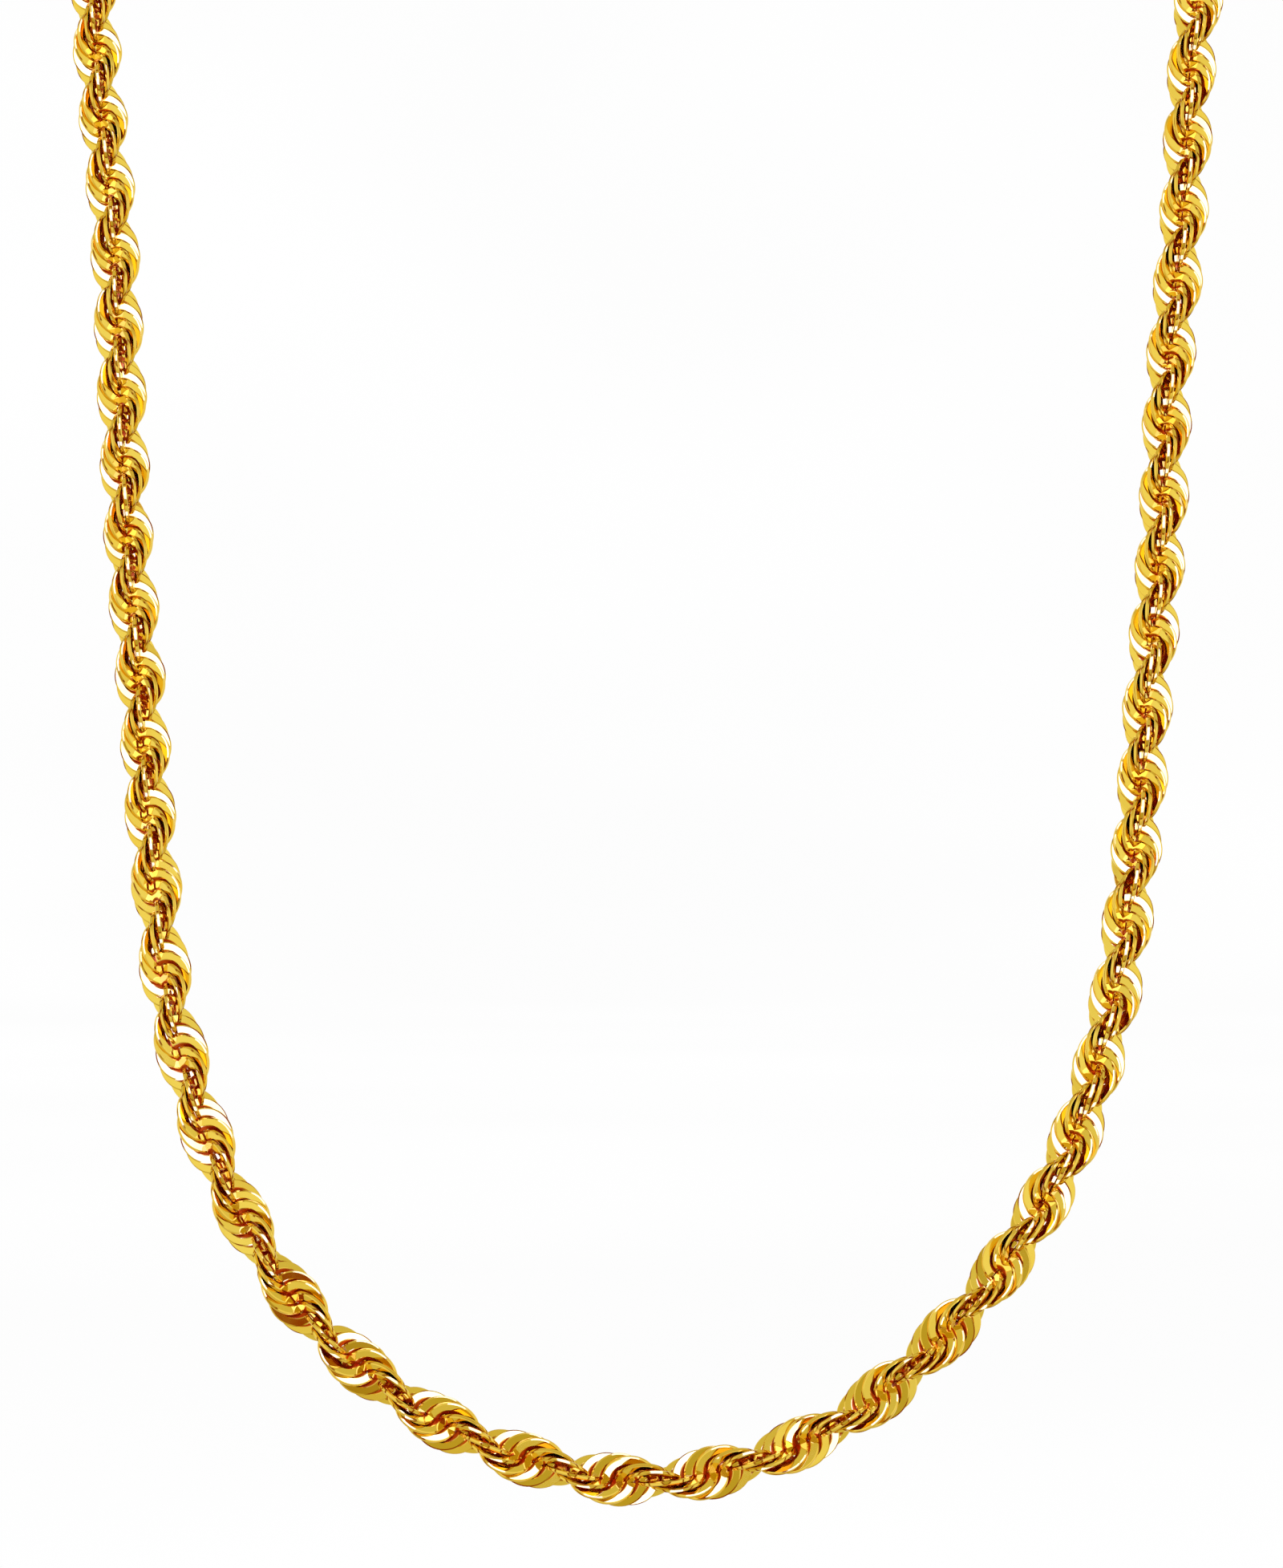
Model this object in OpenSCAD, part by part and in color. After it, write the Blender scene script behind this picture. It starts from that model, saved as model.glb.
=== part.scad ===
// Rope chain necklace in the shape it takes when worn, closed at the nape by a barrel clasp.
// Millimetres. +Z is up, -Y is the wearer's front and +X the wearer's left.
// The origin is the middle of the clasp, where the necklace sits on the nape.

/* [Rope] */
// Outer diameter of the rope that the links are twisted into
rope_d = 4; // [3:0.1:5]

/* [End caps] */
// Wall of each end cap round the chain
cap_wall = 0.4; // [0.3:0.05:0.8]
// Length of chain that each end cap grips
cap_grip = 5; // [3:0.5:6]
// Thickness of the closed end of each cap
cap_end = 1; // [0.8:0.1:1.4]
// Rounding of the closed end of each cap
cap_round = 0.9; // [0.3:0.1:1.1]
// Height of the bead round the mouth of each cap
cap_bead = 0.3; // [0.2:0.05:0.5]

/* [Clasp] */
// Length of the clasp's barrel
clasp_len = 9; // [6:0.5:10]
// Diameter of the clasp's barrel
clasp_d = 4.8; // [4:0.1:7]
// Rounding of both ends of the barrel
clasp_round = 0.9; // [0.3:0.1:1.1]

/* [Eyes] */
// Thickness of the wire of the eyes on the clasp and the caps
eye_wire = 0.9; // [0.7:0.05:1]
// Width of the hole through each eye
eye_hole = 1.7; // [1.6:0.05:2]

/* [Clearances] */
// Gap between the chain and the cap that holds it, all round
chain_gap = 0.1; // [0.05:0.01:0.2]
// Gap between the wires of two linked eyes
eye_gap = 0.15; // [0.1:0.01:0.3]

/* [Hidden] */

gold = [0.93, 0.73, 0.22];
bright_gold = [0.96, 0.80, 0.34];
round_fn = 64;
rope_sides = 12;
steps_per_span = 2;

// The eyes of the clasp stand upright and those of the caps lie flat, one through the other
eye_ring_r = (eye_hole + eye_wire) / 2;
clasp_eye_x = clasp_len / 2 + eye_ring_r;
cap_eye_x = clasp_eye_x + 2 * eye_ring_r - eye_wire - eye_gap;

// Each cap begins behind its eye, and the chain's end lies inside it
cap_bore_r = rope_d / 2 + chain_gap;
cap_r = cap_bore_r + cap_wall;
cap_x = cap_eye_x + eye_ring_r;
cap_len = cap_end + chain_gap + cap_grip;
chain_end_x = cap_x + cap_end + chain_gap;
cap_mouth_x = cap_x + cap_len;

// Centre line of the chain from the wearer's right side round the front to the left side,
// as it hangs round a neck. The lowest point is the middle of the drape.
route_points = [
    [-25, -1.5, -1.5], [-34.5, -6, -5.5], [-42.5, -14, -12.5], [-47, -24.5, -20.5],
    [-48, -34.5, -29.5], [-47.5, -42, -40], [-46.5, -47, -51.5], [-45.5, -50.5, -63.5],
    [-44, -54, -76], [-43, -57.5, -89.5], [-42, -61.5, -103], [-40.5, -66, -116],
    [-39, -72, -129], [-37, -77.5, -141], [-32.5, -82.5, -153.5], [-25, -85, -164.5],
    [-14, -85, -172.5], [-0.5, -85, -176], [13, -85, -172.5], [23.5, -85, -164],
    [31.5, -82.5, -153], [36, -77.5, -141], [38.5, -71.5, -128.5], [40, -66, -116],
    [41.5, -61.5, -103], [42.5, -57.5, -89.5], [44, -54, -76], [45, -50.5, -63.5],
    [46.5, -47, -51.5], [47.5, -42, -40], [48, -34.5, -29.5], [47, -24.5, -20.5],
    [42.5, -14, -12.5], [34.5, -6, -5.5], [25, -1.5, -1.5]
];
route = concat(
    [[-chain_end_x, 0, 0], [-cap_mouth_x, 0, 0]],
    route_points,
    [[cap_mouth_x, 0, 0], [chain_end_x, 0, 0]]
);

// A direction that no stretch of the route runs along, from which its rings are turned
route_normal = [0, -1, 0.5];

function unit(v) = v / norm(v);

// Smooth curve through the route's points: the place and the direction at share t of span i
function before(p, i) = i > 0 ? p[i - 1] : 2 * p[0] - p[1];
function after(p, i) = i + 2 < len(p) ? p[i + 2] : 2 * p[i + 1] - p[i];
function place(p, i, t) =
    let (a = before(p, i), b = p[i], c = p[i + 1], d = after(p, i))
    (2 * b + (c - a) * t + (2 * a - 5 * b + 4 * c - d) * pow(t, 2)
        + (3 * b - a - 3 * c + d) * pow(t, 3)) / 2;
function heading(p, i, t) =
    let (a = before(p, i), b = p[i], c = p[i + 1], d = after(p, i))
    unit((c - a) + 2 * (2 * a - 5 * b + 4 * c - d) * t + 3 * (3 * b - a - 3 * c + d) * pow(t, 2));

// One ring of points round the curve
function ring(centre, along, r, sides) =
    let (side = unit(cross(along, route_normal)), top = cross(side, along))
    [for (j = [0 : sides - 1]) centre + r * (side * cos(360 * j / sides) + top * sin(360 * j / sides))];

// Round tube swept along the curve, closed at both ends
module tube(p, d, sides, steps) {
    rings = concat(
        [for (i = [0 : len(p) - 2], k = [0 : steps - 1])
            ring(place(p, i, k / steps), heading(p, i, k / steps), d / 2, sides)],
        [ring(p[len(p) - 1], heading(p, len(p) - 2, 1), d / 2, sides)]
    );
    last = len(rings) - 1;
    points = [for (one = rings) each one];
    walls = [for (i = [0 : last - 1], j = [0 : sides - 1])
        let (a = i * sides + j, b = i * sides + (j + 1) % sides)
        each [[a, b, b + sides], [a, b + sides, a + sides]]];
    first_end = [for (j = [0 : sides - 1]) sides - 1 - j];
    last_end = [for (j = [0 : sides - 1]) last * sides + j];
    polyhedron(points = points, faces = concat([first_end], walls, [last_end]));
}

// Solid of revolution along +X: a cylinder with a rounded far end
module rounded_rod(len, r, rounding) {
    rotate([0, 90, 0])
        rotate_extrude($fn = round_fn) {
            square([r, len - rounding]);
            square([r - rounding, len]);
            translate([r - rounding, len - rounding])
                intersection() {
                    circle(r = rounding, $fn = round_fn);
                    square(rounding);
                }
        }
}

// Ring of wire in the XY plane
module eye() {
    rotate_extrude($fn = round_fn)
        translate([eye_ring_r, 0])
            circle(d = eye_wire, $fn = round_fn);
}

// The row of links as the tube that it fills
module rope_chain() {
    color(gold)
        tube(route, rope_d, rope_sides, steps_per_span);
}

// Cup that grips one end of the chain, with its eye soldered on. It lies along +X.
module end_cap() {
    color(bright_gold) {
        difference() {
            union() {
                translate([cap_mouth_x, 0, 0])
                    mirror([1, 0, 0])
                        rounded_rod(cap_len, cap_r, cap_round);
                translate([cap_mouth_x - cap_bead, 0, 0])
                    rotate([0, 90, 0])
                        rotate_extrude($fn = round_fn)
                            translate([cap_r, 0])
                                circle(r = cap_bead, $fn = round_fn);
            }
            translate([cap_x + cap_end, 0, 0])
                rotate([0, 90, 0])
                    cylinder(r = cap_bore_r, h = cap_len, $fn = round_fn);
        }
        translate([cap_eye_x, 0, 0])
            eye();
    }
}

module end_cap_left() {
    end_cap();
}

module end_cap_right() {
    mirror([1, 0, 0])
        end_cap();
}

// Barrel with an eye soldered to each end, in one plain piece
module clasp() {
    color(bright_gold)
        for (side = [0, 1])
            mirror([side, 0, 0]) {
                rounded_rod(clasp_len / 2, clasp_d / 2, clasp_round);
                translate([clasp_eye_x, 0, 0])
                    rotate([90, 0, 0])
                        eye();
            }
}

rope_chain();
end_cap_left();
end_cap_right();
clasp();
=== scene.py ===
# Looks of a rope chain necklace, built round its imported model.
# Metres. +Z is up, -Y is the wearer's front and +X the wearer's left.
# The origin is the middle of the clasp, where the necklace sits on the nape.
import math
import random

import bpy
import numpy as np
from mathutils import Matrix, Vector


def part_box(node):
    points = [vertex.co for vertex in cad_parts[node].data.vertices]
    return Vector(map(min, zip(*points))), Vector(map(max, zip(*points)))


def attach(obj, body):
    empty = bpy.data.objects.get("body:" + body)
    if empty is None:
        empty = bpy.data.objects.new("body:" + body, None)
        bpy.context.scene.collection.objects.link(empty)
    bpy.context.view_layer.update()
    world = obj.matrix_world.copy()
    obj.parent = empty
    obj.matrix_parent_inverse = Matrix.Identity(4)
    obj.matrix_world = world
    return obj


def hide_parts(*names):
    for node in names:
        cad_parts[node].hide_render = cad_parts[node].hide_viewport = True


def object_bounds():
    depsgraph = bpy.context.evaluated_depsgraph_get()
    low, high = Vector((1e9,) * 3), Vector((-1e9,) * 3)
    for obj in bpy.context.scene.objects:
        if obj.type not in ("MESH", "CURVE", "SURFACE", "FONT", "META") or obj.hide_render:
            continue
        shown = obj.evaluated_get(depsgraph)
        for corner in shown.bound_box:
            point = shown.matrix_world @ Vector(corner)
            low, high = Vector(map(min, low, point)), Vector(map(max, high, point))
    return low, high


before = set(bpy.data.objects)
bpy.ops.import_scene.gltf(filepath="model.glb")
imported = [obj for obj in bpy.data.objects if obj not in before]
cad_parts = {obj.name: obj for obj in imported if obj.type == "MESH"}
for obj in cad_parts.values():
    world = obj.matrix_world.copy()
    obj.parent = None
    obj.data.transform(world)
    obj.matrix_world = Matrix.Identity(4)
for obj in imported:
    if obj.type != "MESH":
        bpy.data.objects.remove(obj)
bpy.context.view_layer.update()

MM = 0.001
UP = (0, 0, 1)
FRONT = (0, -1, 0)

# Camera: level, looking along +Y at the middle of the part of the drape that shows
CAMERA_AT = (-0.55 * MM, -515 * MM, -122.6 * MM)
CAMERA_LENS = 128.8  # focal length in millimetres
CAMERA_FRAME = 36  # longer side of the frame that the lens fills, in millimetres
CAMERA_NEAR = 10 * MM  # the camera sees nothing nearer than this

# Centre line of the chain from the wearer's right side round the front to the left side.
# It runs straight out of both end caps, whose places come from the frame.
ROUTE = [
    (-0.0250, -0.0015, -0.0015), (-0.0345, -0.0060, -0.0055), (-0.0425, -0.0140, -0.0125),
    (-0.0470, -0.0245, -0.0205), (-0.0480, -0.0345, -0.0295), (-0.0475, -0.0420, -0.0400),
    (-0.0465, -0.0470, -0.0515), (-0.0455, -0.0505, -0.0635), (-0.0440, -0.0540, -0.0760),
    (-0.0430, -0.0575, -0.0895), (-0.0420, -0.0615, -0.1030), (-0.0405, -0.0660, -0.1160),
    (-0.0390, -0.0720, -0.1290), (-0.0370, -0.0775, -0.1410), (-0.0325, -0.0825, -0.1535),
    (-0.0250, -0.0850, -0.1645), (-0.0140, -0.0850, -0.1725), (-0.0005, -0.0850, -0.1760),
    (0.0130, -0.0850, -0.1725), (0.0235, -0.0850, -0.1640), (0.0315, -0.0825, -0.1530),
    (0.0360, -0.0775, -0.1410), (0.0385, -0.0715, -0.1285), (0.0400, -0.0660, -0.1160),
    (0.0415, -0.0615, -0.1030), (0.0425, -0.0575, -0.0895), (0.0440, -0.0540, -0.0760),
    (0.0450, -0.0505, -0.0635), (0.0465, -0.0470, -0.0515), (0.0475, -0.0420, -0.0400),
    (0.0480, -0.0345, -0.0295), (0.0470, -0.0245, -0.0205), (0.0425, -0.0140, -0.0125),
    (0.0345, -0.0060, -0.0055), (0.0250, -0.0015, -0.0015),
]
LOWEST_POINT = 17  # place in ROUTE of the lowest point of the drape
CAP_GRIP = 5 * MM  # length of chain inside each end cap

# Rope: open rings in soldered pairs, twisted about the centre line
ROPE_D = 4.12 * MM  # over the rings
RING_W = 0.87 * MM  # width of a ring between its rims
RING_FACE = 0.45 * MM  # width of the flat cut on each face, next to the outer rim
RING_T = 0.34 * MM  # thickness of a ring at its flat cuts
# How a ring thins from its flat cuts to its inner rim: share of the way, and share of RING_T there
RING_TAPER = [(0.5, 0.55), (1.0, 0.08)]
RING_CHAMFER = (0.10 * MM, 0.065 * MM)  # across the flat cut and down the outer rim
RING_CROWN = 0.008 * MM  # rise of the slightly rounded outer rim
RING_R = ROPE_D / 2 - RING_CROWN - RING_W / 2  # from a ring's centre to the middle of its width
RING_STRETCH = 1.07  # reach of a ring along the rope as a share of its reach across
RING_GAP = 0.26 * MM  # opening through which the next rings were threaded
RING_STEPS = 48  # stations round one ring
# Faces that meet at more than this angle have a crisp edge between them
CRISP_ANGLE = math.radians(20)
PAIRS_PER_HALF_TURN = 4
PAIR_STEP_SHARE = 0.46  # distance between the rings of a pair, as a share of that from pair to pair
PAIR_TWIST_SHARE = 0.40  # the same for the turn between them
END_ROOM = 0.62 * ROPE_D  # the middle of a pair is further than this from the chain's ends
# The arms of the drape slope back to the neck. Below the first of these heights their rings leave
# out this share of the slope, above the second they follow all of it.
SLOPE_LEFT_OUT = 0.6
LEFT_OUT_BELOW, FOLLOWED_ABOVE = -55 * MM, -30 * MM

# Scatter of the rings, as standard deviations
PAIR_TURN_SCATTER = math.radians(2.5)
PAIR_SHIFT_SCATTER = 0.05 * MM
RING_TURN_SCATTER = math.radians(1)
RING_LEAN_SCATTER = math.radians(0.8)
SCATTER_SEED = 4

# The twist, as some of the bulges that face the front: number of the bulge, counted from the lowest
# point, and distance from that point. The rope makes a half turn from each bulge to the next.
BULGES = [
    (-39, -249 * MM),
    (-28, -182 * MM),
    (-12, -85.5 * MM),
    (-9, -67 * MM),
    (-6, -45.5 * MM),
    (-4, -31 * MM),
    (-2, -16 * MM),
    (1, 5.5 * MM),
    (3, 20 * MM),
    (5, 33.5 * MM),
    (8, 51.5 * MM),
    (14, 89 * MM),
    (16, 101 * MM),
    (28, 175.5 * MM),
    (40, 250 * MM),
]

# The rope's pieces, one for each quarter of it, from the wearer's right end round the front
QUARTERS = ["right_back", "right_front", "left_front", "left_back"]

# Gold of the polished faces, of warmer patches on them, and of the painted shade, a dark red, on the
# rings' inner sides
GOLD = (0.93, 0.67, 0.13, 1)
GOLD_WARM = (0.92, 0.62, 0.09, 1)
GOLD_PAINTED_SHADE = (0.50, 0.06, 0.003, 1)
PATCH_TONES = [(0.35, GOLD), (0.7, GOLD_WARM)]  # colours for the values of a soft noise
NOISE_RANGE = (0.3, 0.7)  # where most values of a noise lie
LINK_ROUGHNESS = (0.04, 0.09)  # least and most on the polished faces of the rings
CLASP_ROUGHNESS = (0.1, 0.22)  # least and most on the caps and the clasp
TURNING_SCALE = (9000.0, 300.0, 300.0)  # turning marks to a metre, along the clasp and across it
# Depth is a value of each point of a ring, from 0 on the flat cuts to 1 at the inner rim. The inner
# sides carry painted shade and are duller, and the change to that lies between these two depths.
DEPTH_FADE = (0.02, 0.3)
DEEP_ROUGHNESS = 0.3  # added to the roughness where the change is complete
EDGE_DEPTH = 0.10  # depth of the two edges of the outer rim, which gives them a thin outline of painted shade

# Soft boxes in front of the necklace: azimuth from its front, positive to the camera's right, and
# elevation in degrees, width and height in metres, and brightness
LIGHTS = {
    "key": (13, 43, 1.3, 0.95, 9.0),
    "front": (0, 20, 1.1, 0.62, 9.0),
    "low": (0, -52, 1.2, 0.5, 9.0),
}
LIGHT_TINT = (0.14, 0.19, 1.0)  # as cool as gold is warm, so that gold mirrors it white
LIGHTS_AIM = Vector((0, -0.05, -0.11))  # the point that they face, between the chain's arms
LIGHT_DISTANCE = 1.6  # from that point, in metres

# Brightness of the surroundings between the soft boxes, at the horizon and well off it, and the
# sines of the two elevations between which it changes
STUDIO_LEVELS = (0.97, 0.7)
STUDIO_RISE = (0.25, 0.6)
# Share of it that is left, by the cosine of the angle from the front: a dark ring round the
# camera's place, with a dim middle
STUDIO_OPENING = [(0.94, 1.0), (0.955, 0.08), (0.97, 0.08), (0.98, 0.6)]
# The same by the cosine of the angle from the front or the back: a wide dark ring round each
STUDIO_BANDS = [(0.26, 1.0), (0.30, 0.12), (0.38, 0.12), (0.42, 1.0)]
# Their colour for each brightness: the dimmer they are, the warmer
STUDIO_TONES = [
    (0.0, (0.14, 0.02, 0.0, 1)),
    (0.1, (0.30, 0.06, 0.005, 1)),
    (0.3, (0.38, 0.26, 0.03, 1)),
    (0.6, (0.55, 0.50, 0.15, 1)),
    (0.9, (0.95, 0.98, 0.75, 1)),
]

# Stage, in metres
STAGE_DROP = 0.03  # how far the floor lies under the drape
STAGE_FLAT_R = 1.6  # radius of the flat floor
STAGE_BEND_R = 0.8  # radius of the bend from the floor into the wall
STAGE_TOP = 1.6  # height of the wall's upper edge over the floor
STAGE_SIDES = 96  # points round it
STAGE_BEND_STEPS = 16  # faces up the bend
STAGE_TONES = [(0.3, 0.98), (0.7, 1.0)]  # greys for the values of a wide noise


def unit(v):
    """A direction made one long, or each row of several"""
    return v / np.linalg.norm(v, axis=-1, keepdims=True)


def grey(level):
    return (level, level, level, 1)


def mesh_object(name, points, faces):
    """A mesh with smooth faces, placed in the scene"""
    mesh = bpy.data.meshes.new(name)
    mesh.from_pydata(points, [], faces)
    mesh.polygons.foreach_set("use_smooth", [True] * len(mesh.polygons))
    made = bpy.data.objects.new(name, mesh)
    bpy.context.scene.collection.objects.link(made)
    return made


class Route:
    """Smooth curve through the route's points, known at any distance along it"""

    STEPS = 40  # samples between two points

    def __init__(self, points):
        p = np.array(points)
        p = np.vstack([2 * p[0] - p[1], p, 2 * p[-1] - p[-2]])
        share = np.arange(self.STEPS)[:, None] / self.STEPS
        places, headings = [], []
        for a, b, c, d in zip(p, p[1:], p[2:], p[3:]):
            square, cube = 2 * a - 5 * b + 4 * c - d, 3 * b - a - 3 * c + d
            places.append((2 * b + (c - a) * share + square * share**2 + cube * share**3) / 2)
            headings.append((c - a) + 2 * square * share + 3 * cube * share**2)
        self.place = np.vstack(places + [p[-2:-1]])
        self.heading = unit(np.vstack(headings + [p[-1:] - p[-3:-2]]))
        legs = np.linalg.norm(np.diff(self.place, axis=0), axis=1)
        self.distance = np.concatenate([[0], np.cumsum(legs)])
        self.length = self.distance[-1]

    def at(self, s):
        """Place and direction at distance s"""
        place = np.array([np.interp(s, self.distance, self.place[:, k]) for k in range(3)])
        along = np.array([np.interp(s, self.distance, self.heading[:, k]) for k in range(3)])
        return place, unit(along)

    def frame_at(self, s):
        """Place at distance s, and three directions for a ring there: along the rope, and across it
        sideways and backwards. No stretch of the route runs along FRONT."""
        place, along = self.at(s)
        left_out = np.interp(place[2], (LEFT_OUT_BELOW, FOLLOWED_ABOVE), (SLOPE_LEFT_OUT, 0))
        along = unit(along * (1, 1 - left_out, 1))
        sideways = unit(np.cross(along, FRONT))
        return place, along, sideways, np.cross(along, sideways)


def place_of_turns(turns):
    """Distance from the lowest point at which the twist has made these half turns"""
    numbers, distances = zip(*BULGES)
    return np.interp(turns, numbers, distances)


def pairs_of_rope(route, lowest):
    """Half turns that the twist has made at each pair of rings, from end to end of the chain"""
    first_turns, last_turns = BULGES[0][0], BULGES[-1][0]
    pairs = []
    for k in range(first_turns * PAIRS_PER_HALF_TURN, last_turns * PAIRS_PER_HALF_TURN):
        # The first ring of every fourth pair faces the front
        turns = (k + PAIR_TWIST_SHARE / 2) / PAIRS_PER_HALF_TURN
        if END_ROOM < lowest + place_of_turns(turns) < route.length - END_ROOM:
            pairs.append(turns)
    return pairs


def rings_of_pair(turns, route, lowest, draw):
    """For both rings of a pair: centre, direction outward in the ring's plane, direction along the
    rope, and 1 or -1 for a gap that lies along it or the other way"""
    pair_angle = turns * math.pi + draw.gauss(0, PAIR_TURN_SCATTER)
    shift = draw.gauss(0, PAIR_SHIFT_SCATTER)
    for side in (-0.5, 0.5):
        s = lowest + place_of_turns(turns + side * PAIR_STEP_SHARE / PAIRS_PER_HALF_TURN) + shift
        centre, along, sideways, backwards = route.frame_at(s)
        angle = pair_angle + side * PAIR_TWIST_SHARE * math.pi / PAIRS_PER_HALF_TURN
        angle += draw.gauss(0, RING_TURN_SCATTER)
        outward = math.cos(angle) * sideways + math.sin(angle) * backwards
        lean = draw.gauss(0, RING_LEAN_SCATTER)
        along = math.cos(lean) * along + math.sin(lean) * np.cross(outward, along)
        yield centre, outward, along, 1 if side > 0 else -1


def ring_section():
    """Outline of a ring's section: distance from the middle of its width, height over the middle of
    its thickness, and depth"""
    a, b, (c, d) = RING_W / 2, RING_T / 2, RING_CHAMFER
    flat_end = a - c - RING_FACE
    # The rim's edges get a little depth, so a thin line of painted shade
    half = [(a, b - d, EDGE_DEPTH), (a - c, b, 0.0), (flat_end, b, 0.0)]
    for share, thickness in RING_TAPER:
        half.append((flat_end - share * (flat_end + a), thickness * b, share))
    other = [(x, -y, depth) for x, y, depth in reversed(half)]
    return np.array([(a + RING_CROWN, 0.0, 0.0)] + half + other)


def ring_points(section, centre, outward, along, gap_side):
    """Points of one open ring, a row for each station"""
    half_gap = RING_GAP / RING_R / 2
    start = gap_side * math.pi / 2 + half_gap
    angle = start + (2 * math.pi - 2 * half_gap) * np.arange(RING_STEPS + 1) / RING_STEPS
    ray = np.cos(angle)[:, None] * outward + RING_STRETCH * np.sin(angle)[:, None] * along
    normal = np.cross(outward, along)
    reach = (RING_R + section[:, 0])[None, :, None]
    return centre + reach * ray[:, None, :] + section[None, :, 1, None] * normal


def ring_faces(first, sides):
    """Faces of one open ring whose points start at first"""
    faces = []
    for row in range(RING_STEPS):
        a = first + row * sides
        for j in range(sides):
            k = (j + 1) % sides
            faces.append((a + j, a + k, a + sides + k, a + sides + j))
    end = first + RING_STEPS * sides
    faces.append(tuple(first + j for j in reversed(range(sides))))
    faces.append(tuple(end + j for j in range(sides)))
    return faces


def make_links(name, rings):
    """One piece of rope: these rings, joined in one mesh that knows the depth of its points"""
    section = ring_section()
    ring_size = (RING_STEPS + 1) * len(section)
    points = [ring_points(section, *ring).reshape(-1, 3) for ring in rings]
    faces = []
    for k in range(len(rings)):
        faces += ring_faces(k * ring_size, len(section))
    links = mesh_object(name, np.vstack(points).tolist(), faces)
    depth = np.tile(section[:, 2], (RING_STEPS + 1) * len(rings))
    links.data.attributes.new("depth", "FLOAT", "POINT").data.foreach_set("value", depth)
    links.data.set_sharp_from_angle(angle=CRISP_ANGLE)
    links.data.update()
    return links


class Graph:
    """Short way to write the node tree of a material or a world"""

    # Numbers of the colour sockets of a Mix node, whose names repeat
    MIX_FIRST, MIX_SECOND, MIX_RESULT = 6, 7, 2

    def __init__(self, item):
        item.use_nodes = True
        self.item = item
        self.tree = item.node_tree
        kinds = ("BSDF_PRINCIPLED", "BACKGROUND")
        self.shader = next(node for node in self.tree.nodes if node.type in kinds)

    def fill(self, node, inputs):
        """Gives inputs of a node a value each, or a link where an output is given"""
        for key, value in inputs.items():
            if isinstance(value, bpy.types.NodeSocket):
                self.tree.links.new(value, node.inputs[key])
            else:
                node.inputs[key].default_value = value

    def node(self, kind, inputs=None, **settings):
        """A node with its settings and its inputs"""
        made = self.tree.nodes.new(kind)
        for key, value in settings.items():
            setattr(made, key, value)
        self.fill(made, inputs or {})
        return made

    def noise(self, where, scale, detail):
        """Noise with about this many features to a metre"""
        made = self.node("ShaderNodeTexNoise", {"Vector": where, "Scale": scale, "Detail": detail})
        return made.outputs["Fac"]

    def bump(self, height, strength, distance):
        made = self.node("ShaderNodeBump", {"Strength": strength, "Distance": distance, "Height": height})
        return made.outputs["Normal"]

    def calc(self, operation, *values):
        """What an operation makes of single values"""
        return self.node("ShaderNodeMath", dict(enumerate(values)), operation=operation).outputs["Value"]

    def cosine(self, way, direction):
        """Cosine of the angle between two directions, each one long"""
        made = self.node("ShaderNodeVectorMath", {0: way, 1: direction}, operation="DOT_PRODUCT")
        return made.outputs["Value"]

    def ramp(self, value, stops):
        """Colour for a value, from stops that are a value and a colour each"""
        made = self.node("ShaderNodeValToRGB", {"Fac": value})
        elements = made.color_ramp.elements
        while len(elements) < len(stops):
            elements.new(0.5)  # it gets its own position below
        for element, (position, colour) in zip(elements, stops):
            element.position = position
            element.color = colour
        return made.outputs["Color"]

    def grey_ramp(self, value, stops):
        return self.ramp(value, [(position, grey(level)) for position, level in stops])

    def span(self, value, given, wanted):
        """Value moved from the range given to the range wanted"""
        made = self.node("ShaderNodeMapRange", {
            "Value": value,
            "From Min": given[0],
            "From Max": given[1],
            "To Min": wanted[0],
            "To Max": wanted[1],
        })
        return made.outputs["Result"]

    def mix(self, share, first, second):
        """Colour between two colours"""
        made = self.node("ShaderNodeMix", data_type="RGBA")
        self.fill(made, {"Factor": share, self.MIX_FIRST: first, self.MIX_SECOND: second})
        return made.outputs[self.MIX_RESULT]


def link_gold():
    """Polished gold with faint patches, haze and waves, with painted shade in a warm dark red and more
    roughness on the rings' inner sides
    """
    g = Graph(bpy.data.materials.new("link_gold"))
    where = g.node("ShaderNodeTexCoord").outputs["Object"]
    depth = g.node("ShaderNodeAttribute", attribute_name="depth").outputs["Fac"]
    # How far each point has gone into the painted shade and the dull finish of the inner sides
    painted_shade_and_dullness = g.span(depth, DEPTH_FADE, (0.0, 1.0))
    tone = g.ramp(g.noise(where, scale=180.0, detail=3.0), PATCH_TONES)
    haze = g.span(g.noise(where, scale=900.0, detail=4.0), NOISE_RANGE, LINK_ROUGHNESS)
    waves = g.noise(where, scale=260.0, detail=1.0)
    g.fill(g.shader, {
        # Painted shade: the inner sides and the rim's edges turn dark red
        "Base Color": g.mix(painted_shade_and_dullness, tone, GOLD_PAINTED_SHADE),
        "Metallic": 1.0,
        "Roughness": g.calc("MULTIPLY_ADD", painted_shade_and_dullness, DEEP_ROUGHNESS, haze),
        "Normal": g.bump(waves, strength=0.1, distance=0.02 * MM),
    })
    return g.item


def clasp_gold():
    """Polished gold of the caps and the clasp, with fine turning marks round their axis"""
    g = Graph(bpy.data.materials.new("clasp_gold"))
    where = g.node("ShaderNodeTexCoord").outputs["Object"]
    squeezed = g.node("ShaderNodeMapping", {"Vector": where, "Scale": TURNING_SCALE}).outputs["Vector"]
    marks = g.noise(squeezed, scale=1.0, detail=3.0)
    g.fill(g.shader, {
        "Base Color": g.ramp(g.noise(where, scale=220.0, detail=3.0), PATCH_TONES),
        "Metallic": 1.0,
        "Roughness": g.span(marks, NOISE_RANGE, CLASP_ROUGHNESS),
        "Normal": g.bump(marks, strength=0.2, distance=0.01 * MM),
    })
    return g.item


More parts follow.
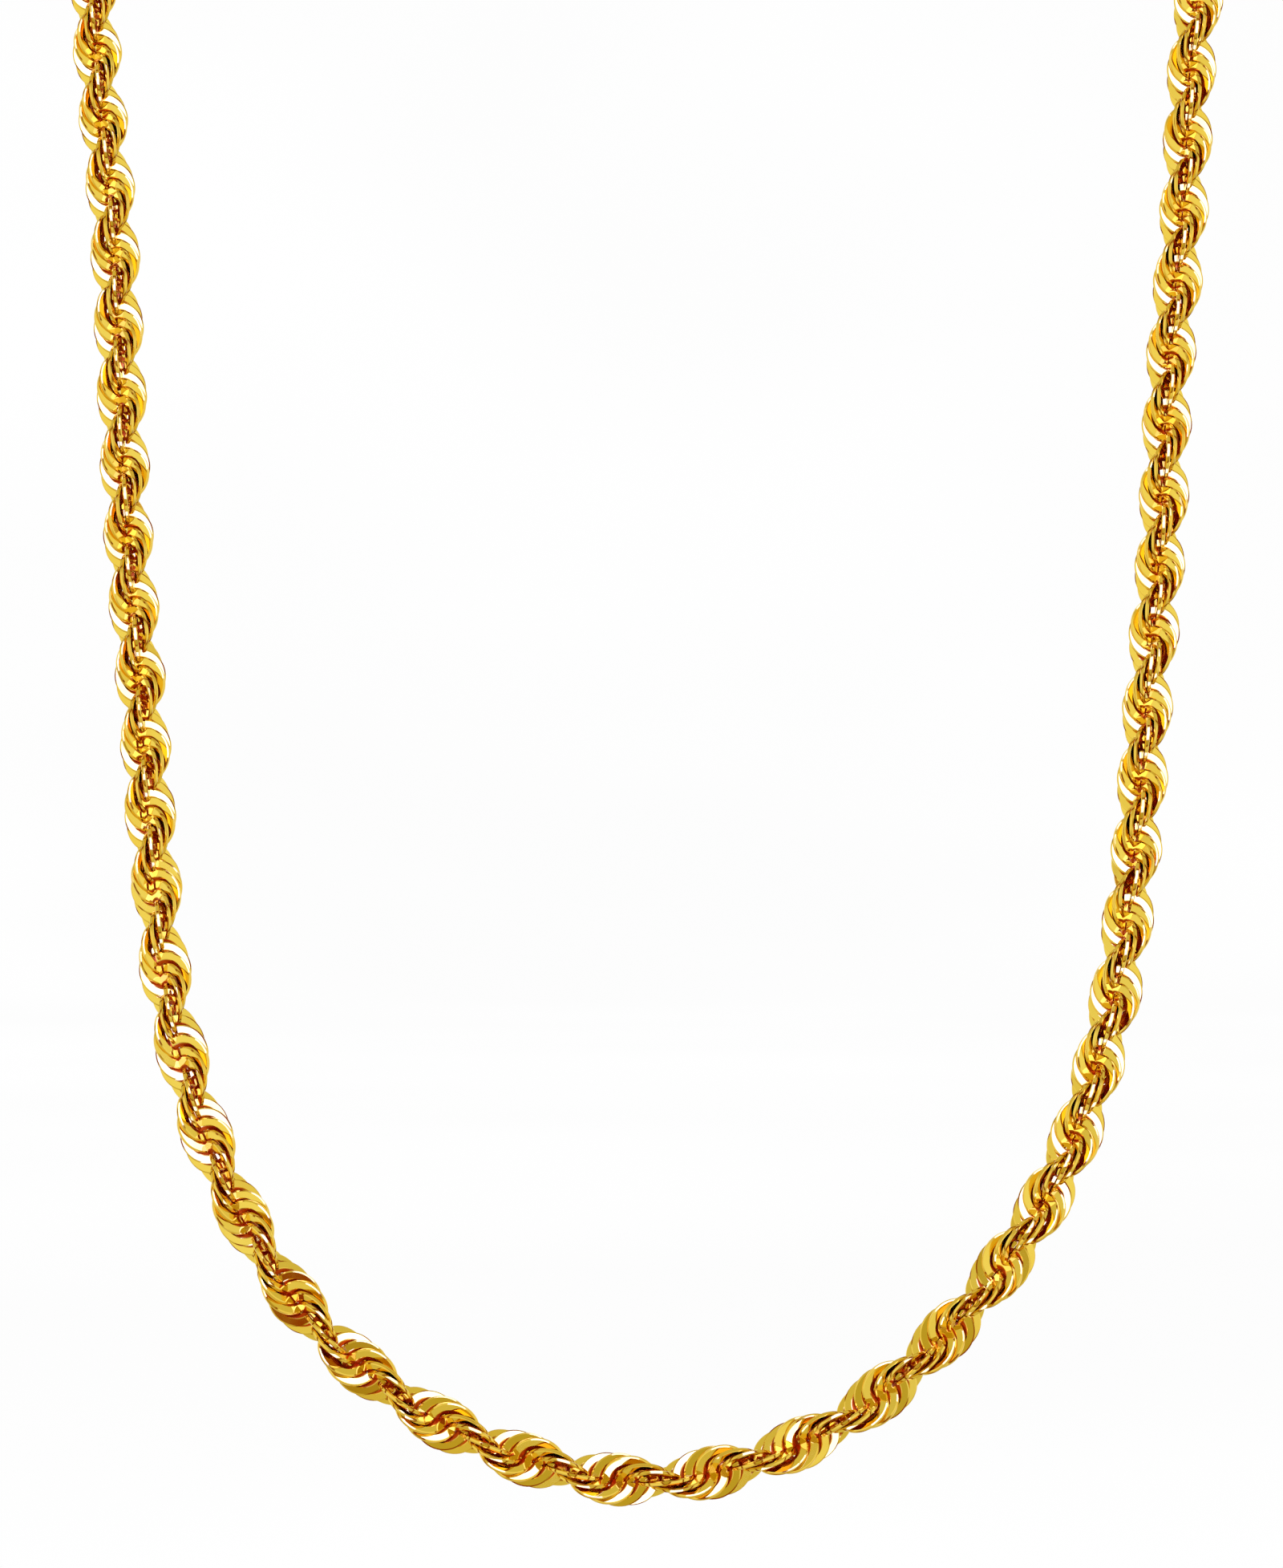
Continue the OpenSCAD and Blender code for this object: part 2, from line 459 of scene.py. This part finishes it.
def pale_floor():
    """White that glows, with a trace of mottle, so that it needs no light and takes no shadow"""
    g = Graph(bpy.data.materials.new("pale_floor"))
    where = g.node("ShaderNodeTexCoord").outputs["Object"]
    g.fill(g.shader, {
        "Base Color": grey(0),
        "Specular IOR Level": 0,
        "Emission Color": g.grey_ramp(g.noise(where, scale=3.0, detail=2.0), STAGE_TONES),
        "Emission Strength": 1.0,
    })
    return g.item


def add_camera():
    data = bpy.data.cameras.new("camera")
    data.lens = CAMERA_LENS
    data.sensor_width = CAMERA_FRAME
    data.clip_start = CAMERA_NEAR
    camera = bpy.data.objects.new("camera", data)
    camera.location = CAMERA_AT
    camera.rotation_euler = (math.pi / 2, 0, 0)
    bpy.context.scene.collection.objects.link(camera)
    bpy.context.scene.camera = camera


def add_rope():
    """The rings, in place of the plain tube"""
    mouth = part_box("end_cap_left")[1][0]
    chain_end = mouth - CAP_GRIP
    start = [(-chain_end, 0, 0), (-mouth, 0, 0)]
    end = [(mouth, 0, 0), (chain_end, 0, 0)]
    route = Route(start + ROUTE + end)
    lowest = route.distance[(len(start) + LOWEST_POINT) * Route.STEPS]
    pairs = pairs_of_rope(route, lowest)
    quarter = math.ceil(len(pairs) / len(QUARTERS))
    gold = link_gold()
    draw = random.Random(SCATTER_SEED)
    for k, name in enumerate(QUARTERS):
        rings = []
        for turns in pairs[k * quarter:(k + 1) * quarter]:
            rings += rings_of_pair(turns, route, lowest, draw)
        links = make_links("rope_links_" + name, rings)
        links.data.materials.append(gold)
        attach(links, "root")
        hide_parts("rope_chain")


def dress(node, material):
    """Gives a solid of the frame its material"""
    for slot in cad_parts[node].material_slots:
        slot.material = material


def add_stage():
    """Pale floor that curves up into a wall all round. The gold doesn't mirror it."""
    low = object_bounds()[0].z - STAGE_DROP
    profile = [(STAGE_FLAT_R, low)]
    for k in range(1, STAGE_BEND_STEPS + 1):
        a = math.pi / 2 * k / STAGE_BEND_STEPS
        profile.append((STAGE_FLAT_R + STAGE_BEND_R * math.sin(a), low + STAGE_BEND_R * (1 - math.cos(a))))
    profile.append((STAGE_FLAT_R + STAGE_BEND_R, low + STAGE_TOP))
    points = [(0, 0, low)]
    for r, z in profile:
        for j in range(STAGE_SIDES):
            a = 2 * math.pi * j / STAGE_SIDES
            points.append((r * math.cos(a), r * math.sin(a), z))
    faces = [(0, 1 + j, 1 + (j + 1) % STAGE_SIDES) for j in range(STAGE_SIDES)]
    for row in range(len(profile) - 1):
        a = 1 + row * STAGE_SIDES
        b = a + STAGE_SIDES
        for j in range(STAGE_SIDES):
            k = (j + 1) % STAGE_SIDES
            faces.append((a + j, b + j, b + k, a + k))
    floor = mesh_object("floor", points, faces)
    floor.data.materials.append(pale_floor())
    floor.visible_glossy = False
    floor.visible_diffuse = False


def add_lights():
    """Soft boxes that the gold mirrors and the camera doesn't see"""
    for name, (azimuth, elevation, width, height, brightness) in LIGHTS.items():
        a, e = math.radians(azimuth), math.radians(elevation)
        away = Vector((math.sin(a) * math.cos(e), -math.cos(a) * math.cos(e), math.sin(e)))
        data = bpy.data.lights.new(name, "AREA")
        data.shape = "RECTANGLE"
        data.size = width
        data.size_y = height
        # With this power it looks equally bright at any size
        data.energy = brightness * math.pi * width * height
        data.color = LIGHT_TINT
        light = bpy.data.objects.new(name, data)
        light.location = LIGHTS_AIM + away * LIGHT_DISTANCE
        light.rotation_euler = (-away).to_track_quat("-Z", "Y").to_euler()
        light.visible_camera = False
        bpy.context.scene.collection.objects.link(light)


def add_world():
    """Pale studio, brightest at the horizon, with dark rings that the gold mirrors as dark lines"""
    world = bpy.data.worlds.new("studio")
    bpy.context.scene.world = world
    g = Graph(world)
    way = g.node("ShaderNodeTexCoord").outputs["Generated"]
    from_front = g.cosine(way, FRONT)
    opening = g.grey_ramp(from_front, STUDIO_OPENING)
    bands = g.grey_ramp(g.calc("ABSOLUTE", from_front), STUDIO_BANDS)
    level = g.span(g.calc("ABSOLUTE", g.cosine(way, UP)), STUDIO_RISE, STUDIO_LEVELS)
    light = g.calc("MULTIPLY", g.calc("MULTIPLY", opening, bands), level)
    g.fill(g.shader, {"Color": g.ramp(light, STUDIO_TONES)})


add_camera()
add_rope()
metal = clasp_gold()
for node in ("end_cap_left", "end_cap_right", "clasp"):
    dress(node, metal)
add_stage()
add_lights()
add_world()
bpy.context.scene.view_settings.view_transform = "Standard"
